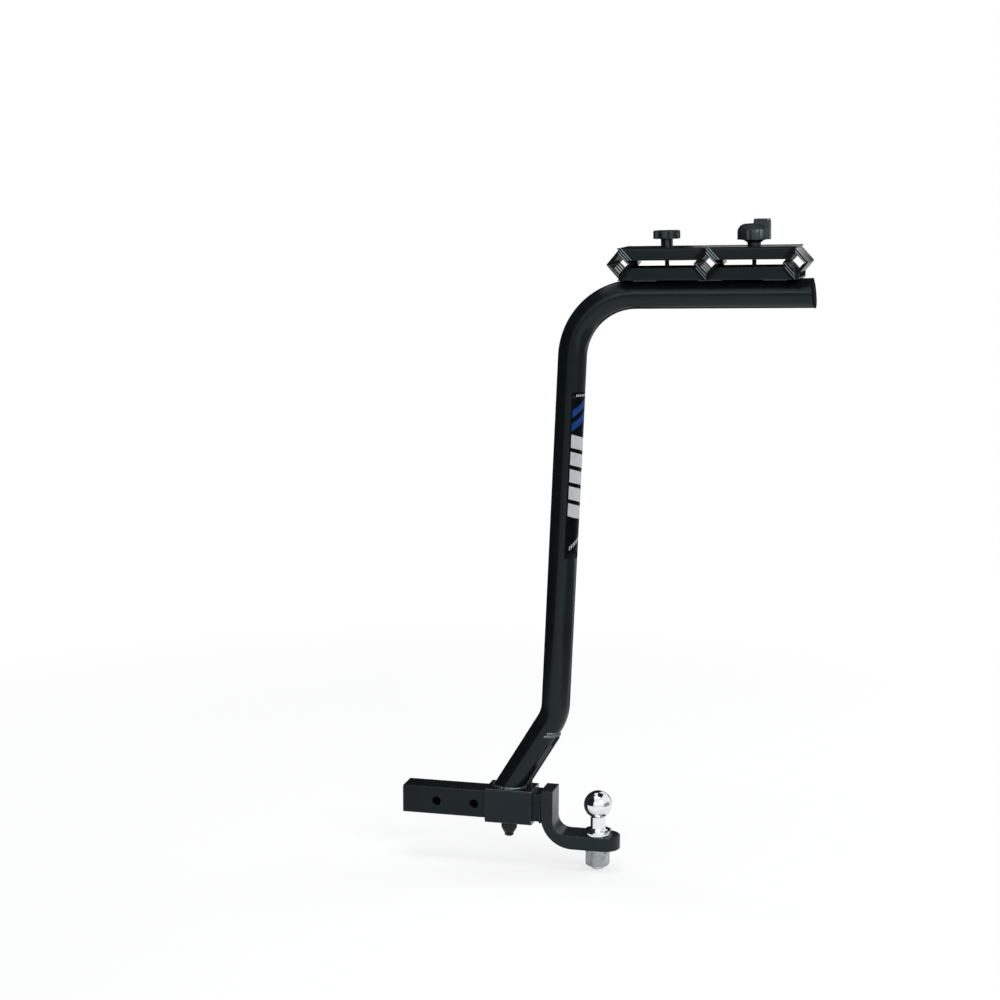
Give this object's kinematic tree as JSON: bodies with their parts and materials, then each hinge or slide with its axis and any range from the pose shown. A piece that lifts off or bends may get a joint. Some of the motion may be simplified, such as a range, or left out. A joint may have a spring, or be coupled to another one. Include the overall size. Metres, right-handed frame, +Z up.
{
  "type": "hitch bike rack",
  "caption": "Hitch bike rack: bent tube mast on a sliding sleeve, screw-down clamp with V saddles, and a drop drawbar with a tow ball.",
  "frame": {"origin": "centre of the hitch-pin hole, on the axis of the square shank", "axes": "+X rearward from the vehicle along the shank, +Y to the vehicle's right, +Z up"},
  "size_m": [0.7258, 0.099, 1.1655],
  "materials": {
    "rack_paint": "semi-gloss black powder coat",
    "weld_paint": "black paint over weld beads",
    "forging_paint": "satin black paint on forged steel",
    "ball_chrome": "polished chrome plate",
    "zinc": "bright zinc plate",
    "black_zinc": "black zinc plate",
    "saddle_vinyl": "glossy black moulded vinyl",
    "knob_plastic": "fine-textured black plastic",
    "brass": "machined brass",
    "lock_steel": "satin nickel",
    "cap_plastic": "smooth black plastic"
  },
  "bodies": {
    "drawbar": {"shank_tube": "forging_paint", "drop_forging": "forging_paint", "shank_weld": "weld_paint", "tow_ball": "ball_chrome", "ball_lock_washer": "zinc", "ball_nut": "zinc"},
    "rack": {"mast_sleeve": "rack_paint", "set_bolt_boss": "rack_paint", "mast_tube": "rack_paint", "mast_gusset": "rack_paint", "foot_weld": "weld_paint", "arm_end_cap": "cap_plastic", "lower_clamp_bar": "rack_paint", "cradle_welds": "weld_paint", "lower_saddle_front": "saddle_vinyl", "lower_saddle_middle": "saddle_vinyl", "lower_saddle_rear": "saddle_vinyl", "front_stud": "black_zinc", "rear_stud": "black_zinc"},
    "set_bolt": {"set_bolt": "black_zinc"},
    "clamp": {"upper_clamp_bar": "rack_paint", "upper_saddle_front": "saddle_vinyl", "upper_saddle_middle": "saddle_vinyl", "upper_saddle_rear": "saddle_vinyl", "front_washer": "black_zinc", "rear_washer": "black_zinc"},
    "front_knob": {"front_knob": "knob_plastic", "front_knob_insert": "brass"},
    "rear_knob": {"rear_lock_knob": "knob_plastic", "rear_knob_insert": "brass", "dust_cap_pin": "lock_steel"},
    "lock_core": {"lock_core": "lock_steel"},
    "dust_cap": {"dust_cap": "knob_plastic"}
  },
  "joints": [
    {"name": "rack_slide", "type": "slide", "parent": "drawbar", "child": "rack", "axis": [1, 0, 0], "range_m": [-0.025, 0.011]},
    {"name": "set_bolt_turn", "type": "hinge", "parent": "rack", "child": "set_bolt", "pos_m": [0.13, 0, -0.05], "axis": [0, 0, 1], "range_deg": [-1080, 0]},
    {"name": "clamp_lift", "type": "slide", "parent": "rack", "child": "clamp", "axis": [-0.0244, 0, 0.9997], "range_m": [0, 0.018]},
    {"name": "front_knob_turn", "type": "hinge", "parent": "clamp", "child": "front_knob", "pos_m": [0.40531, 0, 1.00797], "axis": [-0.0244, 0, 0.9997], "range_deg": [0, 4600]},
    {"name": "rear_knob_turn", "type": "hinge", "parent": "clamp", "child": "rear_knob", "pos_m": [0.55526, 0, 1.01164], "axis": [-0.0244, 0, 0.9997], "range_deg": [0, 4600]},
    {"name": "lock_core_turn", "type": "hinge", "parent": "rear_knob", "child": "lock_core", "pos_m": [0.56757, 0, 1.03995], "axis": [-0.0244, 0, 0.9997], "range_deg": [0, 90]},
    {"name": "dust_cap_open", "type": "hinge", "parent": "rear_knob", "child": "dust_cap", "pos_m": [0.57883, 0, 1.05413], "axis": [0, 1, 0], "range_deg": [0, 110]}
  ],
  "couplings": [
    {"joint": "front_knob_turn", "follows": "clamp_lift", "rad_per_m": 4452.7},
    {"joint": "rear_knob_turn", "follows": "clamp_lift", "rad_per_m": 4452.7}
  ]
}
